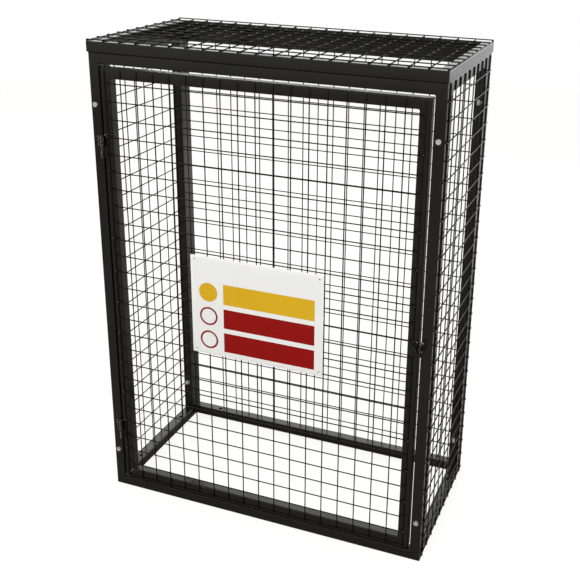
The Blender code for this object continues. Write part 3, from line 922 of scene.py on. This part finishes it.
def fit_lug(node, body):
    """A padlock lug with broken edges and the fillet welds at its foot."""
    low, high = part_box(node)
    middle = (low.x + high.x) / 2
    plate = refined_copy(node, LUG_EDGE)
    keep_piece(node + "_plate", plate, TUBE_BLACK, body, 40, (node,))
    bm = bmesh.new()
    y = FRONT_Y - LUG_WELD_DEPTH
    foot, top = low.z + LUG_WELD_INSET, high.z - LUG_WELD_INSET
    for x in (low.x - LUG_WELD_DEPTH, high.x + LUG_WELD_DEPTH):
        weld_bead(bm, (x, y, foot), (x, y, top), LUG_SIDE_WELD)
    for z in (low.z, high.z):
        weld_bead(bm, (low.x, y, z), (high.x, y, z), LUG_END_WELD)
    keep_piece(node + "_weld", bm, WELD_BLACK, body, 60)
    # Two bare beads at the top of the foot, and two in the hole's lower edge
    places = [(middle, FRONT_Y - 0.0022, high.z + 0.0008),
              (high.x + 0.0006, FRONT_Y - 0.0014, high.z),
              (high.x - 0.0004, low.y + 0.0222, low.z + 0.0098),
              (high.x - 0.0008, low.y + 0.0215, low.z + 0.0090)]
    stray_beads(node + "_bare_weld", body, places, LUG_BEAD_SIZE)

    worn = bmesh.new()
    run = high.z - low.z - 2 * WORN_INSET
    for index in range(WORN_SPOTS):
        z = low.z + WORN_INSET + run * index / (WORN_SPOTS - 1)
        spread = scatter.uniform(0.0010, 0.0019)
        place = (middle + scatter.uniform(-0.0006, 0.0006), low.y + 0.00032, z)
        weld_lump(worn, TACK_BLANK, place, (spread, WORN_THICK, spread * 1.3), Matrix())
    keep_piece(node + "_worn_edge", worn, BARE_WELD, body, 60)


def band_field(corner, top, bottom):
    """A thin raised band between two levels below the sign's upper left corner."""
    left, right = BAND_ENDS
    low = corner + Vector((left, -FIELD_THICK, -bottom))
    bm = block(low, corner + Vector((right, 0, -top)))
    round_edges(bm, long_edges(bm, 1), FIELD_CORNER, 5)
    return bm


def disc_field(corner, down):
    """A thin raised disc at a level below the sign's upper left corner."""
    bm = bmesh.new()
    centre = corner + Vector((ROUND_FIELD_ACROSS, -FIELD_THICK / 2, -down))
    place = facing(centre, FRONTWARD)
    add_cylinder(bm, 2 * DISC_RADIUS, FIELD_THICK, sides=48, place=place)
    return bm


def ring_field(corner, down):
    """A thin raised ring at a level below the sign's upper left corner."""
    outer, inner = RING_RADII
    rows = [(inner, 0.0), (outer, 0.0), (outer, FIELD_THICK), (inner, FIELD_THICK)]
    bm = turned_shape(rows, 56, closed=True)
    centre = corner + Vector((ROUND_FIELD_ACROSS, 0, -down))
    bmesh.ops.transform(bm, verts=bm.verts, matrix=facing(centre, FRONTWARD))
    return bm


def fit_sign():
    """The white plate, its plain colour fields, and the black studs that hold it to the mesh."""
    low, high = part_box("sign_plate")
    sheet = block(low, high)
    round_edges(sheet, long_edges(sheet, 1), SIGN_CORNER, 4)
    faces = [face for face in sheet.faces if abs(face.normal.y) > 0.9]
    round_edges(sheet, list({edge for face in faces for edge in face.edges}), SIGN_EDGE, 2)
    cutter = bmesh.new()
    studs = bmesh.new()
    for side in (-1, 1):
        for level in (-1, 1):
            x = (low.x + high.x) / 2 + side * (SIGN_WIDTH / 2 - SIGN_STUD_INSET)
            z = (low.z + high.z) / 2 + level * (SIGN_HEIGHT / 2 - SIGN_STUD_INSET)
            place = facing((x, low.y, z), FRONTWARD)
            add_cylinder(cutter, SIGN_STUD, 0.01, sides=24, place=place)
            take_in(studs, turned_shape(STUD_DOME, 16), place)
    sheet = carved(sheet, cutter, 'DIFFERENCE')
    keep_piece("sign_sheet", sheet, SIGN_WHITE, "door", 40, ("sign_plate",))
    keep_piece("sign_studs", studs, WIRE_BLACK, "door", 40)
    face = low.y + FIELD_SINK
    corner = Vector((low.x, face, high.z))
    yellow = band_field(corner, *YELLOW_BAND)
    take_in(yellow, disc_field(corner, DISC_DOWN))
    keep_piece("sign_yellow_fields", yellow, SIGN_YELLOW, "door", 40)
    red = bmesh.new()
    for top, bottom in RED_BANDS:
        take_in(red, band_field(corner, top, bottom))
    for down in RINGS_DOWN:
        take_in(red, ring_field(corner, down))
    keep_piece("sign_red_fields", red, SIGN_RED, "door", 40)


def named_nodes(prefix, *ends):
    """The node names that share a prefix."""
    return [prefix + "_" + end for end in ends]


def dress_frames():
    """The five frames of the cage and the door's, with a few bare beads on a door mitre that also
    paint in an edge highlight.
    """
    wall_middle = WALL_TOP / 2
    along, up = (1, 0, 0), (0, 0, 1)
    standing = ("top_rail", "bottom_rail", "right_stile", "left_stile")
    reach = HALF_WIDTH - FLOOR_HOLE_INSET
    for name, y, holes in (("front", FRONT_Y + TUBE / 2, ()),
                           ("back", BACK_Y - TUBE / 2, (-reach, reach))):
        places = ((0, y, wall_middle), along, up, 2 * HALF_WIDTH, WALL_TOP)
        tube_frame(name + "_frame", "cage", places, named_nodes(name, *standing), holes)

    reach = (BACK_Y - FRONT_Y) / 2 - FLOOR_HOLE_INSET
    for name, side in (("left_side", -1), ("right_side", 1)):
        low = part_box(name + "_front_stile")[0].y
        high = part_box(name + "_back_stile")[1].y
        tubes = named_nodes(name, "top_rail", "bottom_rail", "front_stile", "back_stile")
        centre = (side * (HALF_WIDTH - TUBE / 2), MIDDLE_Y, wall_middle)
        places = (centre, (0, side, 0), up, high - low, WALL_TOP)
        tube_frame(name + "_frame", "cage", places, tubes, (-reach, reach))

    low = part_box("top_left_rail")[0]
    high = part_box("top_right_rail")[1]
    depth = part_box("top_back_rail")[1].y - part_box("top_front_rail")[0].y
    tops = named_nodes("top", "back_rail", "front_rail", "right_rail", "left_rail")
    centre = (0, MIDDLE_Y, (low.z + high.z) / 2)
    tube_frame("top_frame", "cage", (centre, along, (0, 1, 0), high.x - low.x, depth), tops)

    doors = named_nodes("door", *standing)
    centre = (DOOR_X, FRONT_Y + TUBE / 2, (DOOR_LOW.z + DOOR_HIGH.z) / 2)
    size = DOOR_HIGH - DOOR_LOW
    tube_frame("door_frame", "door", (centre, along, up, size.x, size.z), doors)
    # Painted highlight: bright bare weld beads down the door's lower left mitre stand in for a
    # pale highlight on its edge
    mitre = [(DOOR_LOW.x + reach, FRONT_Y - 0.0002, DOOR_LOW.z + reach) for reach in MITRE_HIGHLIGHT_BEADS]
    stray_beads("door_mitre_weld_and_highlight_beads", "door", mitre, MITRE_HIGHLIGHT_BEAD_SIZE)


def sheet_reach(nodes, axis):
    """How far a sheet's nodes reach along an axis: 0 for X, 1 for Y, 2 for Z."""
    boxes = [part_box(node) for node in nodes]
    return min(low[axis] for low, high in boxes), max(high[axis] for low, high in boxes)


def dress_sheets():
    """Every sheet of welded mesh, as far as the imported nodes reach.

    Each row gives the sheet's name, body, origin, direction across and outward, its first
    rising wire and their count, its lowest level wire and their count, and its nodes.
    """
    up = (0, 0, 1)
    sheets = [("back_mesh", "cage", (0, BACK_Y, 0), (1, 0, 0), (0, 1, 0), -0.475, 20, 0.025, 27,
               ("back_mesh_lower", "back_mesh_upper"))]
    for name, side in (("left_side_mesh", -1), ("right_side_mesh", 1)):
        sheets.append((name, "cage", (side * HALF_WIDTH, MIDDLE_Y, 0), (0, 1, 0), (side, 0, 0),
                       -0.225, 10, 0.025, 27, (name,)))
    sheets.append(("door_mesh", "door", (DOOR_X, FRONT_Y, 0), (1, 0, 0), (0, -1, 0), -0.45, 19,
                   DOOR_LOW.z + 0.004, 26, ("door_mesh_lower", "door_mesh_upper")))
    for name, body, origin, across, outward, first, count, lowest, rows, nodes in sheets:
        axis = 0 if across[0] else 1
        low, high = sheet_reach(nodes, axis)
        places = (origin, across, up, outward, (low - origin[axis], high - origin[axis]),
                  sheet_reach(nodes, 2))
        wire_sheet(name, body, places, spaced(count, first), spaced(rows, lowest), nodes)

    low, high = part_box("top_mesh")
    places = ((0, MIDDLE_Y, ROOF_TOP), (1, 0, 0), (0, 1, 0), up, (low.x, high.x),
              (low.y - MIDDLE_Y, high.y - MIDDLE_Y))
    wire_sheet("top_mesh", "cage", places, spaced(21, -0.5), spaced(11, -0.25), ("top_mesh",))


def lay_floor():
    """A pale floor that the camera sees as white, with the cage's soft shadow on it, and a
    painted glow that shows only in reflections.
    """
    bm = bmesh.new()
    bmesh.ops.create_circle(bm, cap_ends=True, segments=96, radius=7.0)
    floor = add_object("studio_floor", as_mesh("studio_floor", bm))
    material, tree, shader, vector = start_material("floor_paper")
    shader.inputs["Base Color"].default_value = FLOOR_PAPER
    shader.inputs["Roughness"].default_value = 0.9
    shader.inputs["Specular IOR Level"].default_value = 0.1
    axes = split_axes(tree, vector)
    x, y = axes["X"], axes["Y"]
    # Painted reflection: the floor glows only for reflected rays, brightly far behind the cage
    # and less so beside it
    behind = ramp(tree, y, 0.3, 3.4, NEAR_FLOOR_REFLECTION_GLOW, FAR_FLOOR_REFLECTION_GLOW)
    behind = arithmetic(tree, 'MULTIPLY', behind, ramp(tree, x, 1.15, 2.1, 1.0, 0.15))
    beside = ramp(tree, x, 0.50, 0.53, NEAR_FLOOR_REFLECTION_GLOW, SIDE_FLOOR_REFLECTION_GLOW)
    beside = arithmetic(tree, 'MULTIPLY', beside, ramp(tree, y, -0.3, -0.12))
    bright = arithmetic(tree, 'MAXIMUM', behind, beside)
    path = add_node(tree, "ShaderNodeLightPath")
    seen = arithmetic(tree, 'MULTIPLY', path.outputs["Is Camera Ray"], 0.85)
    mirrored = arithmetic(tree, 'MULTIPLY', path.outputs["Is Glossy Ray"], bright)
    glow = add_node(tree, "ShaderNodeEmission")
    far_behind = ramp(tree, y, 1.2, 3.4)
    whiter = arithmetic(tree, 'MAXIMUM', path.outputs["Is Camera Ray"], far_behind)
    tint = blend_colours(tree, whiter, WARM_GLOW, WHITE)
    tree.links.new(tint, glow.inputs["Color"])
    tree.links.new(arithmetic(tree, 'ADD', seen, mirrored), glow.inputs["Strength"])
    both = add_node(tree, "ShaderNodeAddShader")
    tree.links.new(shader.outputs["BSDF"], both.inputs[0])
    tree.links.new(glow.outputs["Emission"], both.inputs[1])
    tree.links.new(both.outputs["Shader"], tree.nodes["Material Output"].inputs["Surface"])
    floor.data.materials.append(material)
    floor.location.z = -0.0005


def set_world():
    """A white surround, dimmer in reflections on the camera's side, and an even fill light."""
    world = bpy.data.worlds.new("white_studio")
    bpy.context.scene.world = world
    world.use_nodes = True
    tree = world.node_tree
    fill = tree.nodes["Background"]
    fill.inputs["Color"].default_value = (1.0, 0.995, 0.985, 1.0)
    fill.inputs["Strength"].default_value = 0.62
    path = add_node(tree, "ShaderNodeLightPath")
    place = add_node(tree, "ShaderNodeTexCoord")
    axes = split_axes(tree, place.outputs["Generated"])
    # Least toward the camera, which is in front of the cage and to its right
    toward = arithmetic(tree, 'MULTIPLY_ADD', axes["X"], 0.7, axes["Y"])
    front = ramp(tree, toward, -0.75, 0.1, FRONT_GLOSS, 1.0)
    white = add_node(tree, "ShaderNodeBackground")
    white.inputs["Color"].default_value = (*WHITE, 1.0)
    straight = arithmetic(
        tree, 'MAXIMUM', path.outputs["Is Camera Ray"], path.outputs["Is Transmission Ray"])
    tree.links.new(arithmetic(tree, 'MAXIMUM', straight, front), white.inputs["Strength"])
    seen = arithmetic(tree, 'MAXIMUM', straight, path.outputs["Is Glossy Ray"])
    pick = add_node(tree, "ShaderNodeMixShader")
    tree.links.new(seen, pick.inputs["Fac"])
    tree.links.new(fill.outputs["Background"], pick.inputs[1])
    tree.links.new(white.outputs["Background"], pick.inputs[2])
    tree.links.new(pick.outputs["Shader"], tree.nodes["World Output"].inputs["Surface"])


def hang_lamp(name, place, target, width, height, power):
    """An area lamp that faces a target and that the camera doesn't see."""
    lamp = bpy.data.lights.new(name, 'AREA')
    lamp.shape = 'RECTANGLE'
    lamp.size = width
    lamp.size_y = height
    lamp.energy = power
    holder = add_object(name, lamp)
    holder.matrix_world = facing(place, Vector(place) - Vector(target))
    holder.visible_camera = False
    return holder


def set_lamps():
    """Two softboxes that don't show in reflections, and a panel behind the cage that does."""
    front = hang_lamp(
        "front_softbox", (-0.2, -3.4, 3.2), (0, 0, 0.7), width=3.4, height=2.0, power=96)
    right = hang_lamp(
        "right_softbox", (2.6, -1.9, 2.4), (0, 0, 0.7), width=1.6, height=1.8, power=30)
    front.visible_glossy = False
    right.visible_glossy = False
    hang_lamp("back_panel", (0.0, 3.9, 2.3), (0, 0, 1.2), width=8.0, height=2.8, power=60)


def set_camera():
    """The photograph's view: its azimuth, elevation and roll, and its frame's slight offset."""
    azimuth = math.radians(VIEW_AZIMUTH)
    elevation = math.radians(VIEW_ELEVATION)
    roll = math.radians(VIEW_ROLL)
    right = Vector((math.cos(azimuth), math.sin(azimuth), 0))
    back = Vector((math.sin(azimuth) * math.cos(elevation),
                   -math.cos(azimuth) * math.cos(elevation), math.sin(elevation)))
    up = back.cross(right)
    rolled_right = right * math.cos(roll) + up * math.sin(roll)
    rolled_up = up * math.cos(roll) - right * math.sin(roll)
    camera = bpy.data.cameras.new("photo_camera")
    camera.sensor_width = SENSOR
    camera.lens = SENSOR * FOCAL_PIXELS / PHOTO_PIXELS
    camera.shift_x = (PHOTO_PIXELS / 2 - VIEW_CENTRE[0]) / PHOTO_PIXELS
    camera.shift_y = (VIEW_CENTRE[1] - PHOTO_PIXELS / 2) / PHOTO_PIXELS
    holder = add_object("photo_camera", camera)
    turn = Matrix((rolled_right, rolled_up, back)).transposed().to_4x4()
    holder.matrix_world = Matrix.Translation(CAMERA_PLACE) @ turn
    bpy.context.scene.camera = holder


dress_frames()
dress_sheets()
fit_bolts()
fit_hinge("upper")
fit_hinge("lower")
fit_lug("door_lock_lug", "door")
fit_lug("frame_lock_lug", "cage")
fit_sign()
lay_floor()
set_world()
set_lamps()
set_camera()
bpy.context.scene.view_settings.view_transform = 'Standard'
